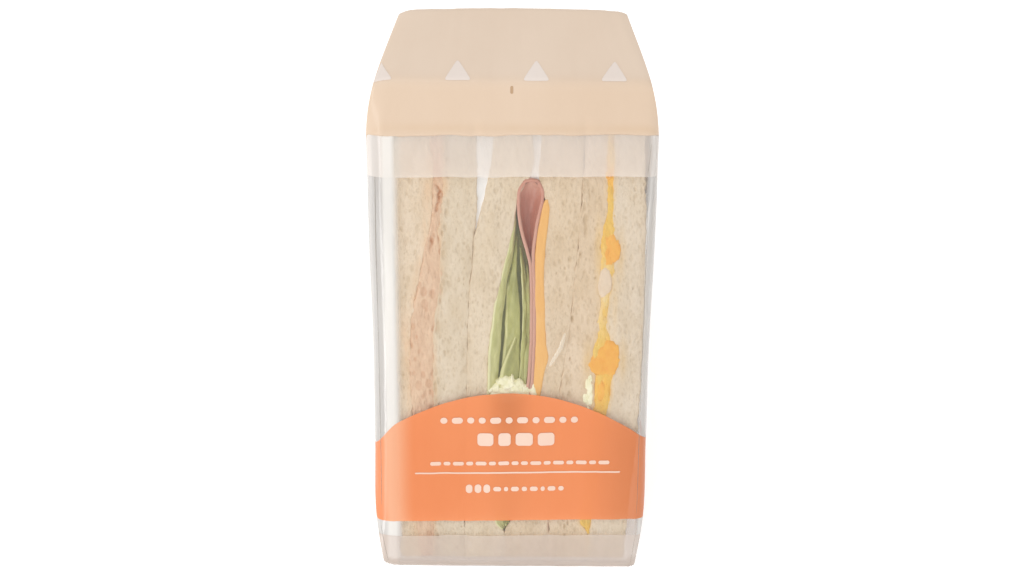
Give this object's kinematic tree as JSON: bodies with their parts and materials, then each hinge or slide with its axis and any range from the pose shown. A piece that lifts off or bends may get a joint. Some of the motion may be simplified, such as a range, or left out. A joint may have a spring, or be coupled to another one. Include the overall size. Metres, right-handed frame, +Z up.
{
  "type": "packed mixed sandwich",
  "caption": "Wedge-shaped clear film pack of triangular sandwiches, with a printed head and a label band; stands on one short face.",
  "frame": {"origin": "middle of the base of the part's box, on the surface the pack stands on", "axes": "+Z up; +Y backward, from the bottom front edge towards the back of the pack; +X to the right across the width"},
  "size_m": [0.0908, 0.1408, 0.1163],
  "materials": {
    "film": "clear glossy film over bread",
    "header": "film with a satin tan print",
    "frosted": "milky double film",
    "label": "orange print on clear film",
    "marks": "pale print",
    "bread": "soft white crumb",
    "tuna": "moist tuna salad",
    "lettuce": "fresh green leaf",
    "ham": "moist pink ham",
    "cheese": "smooth yellow cheese",
    "egg": "moist chopped egg"
  },
  "bodies": {
    "root": {"film_pack": "film"}
  },
  "joints": []
}
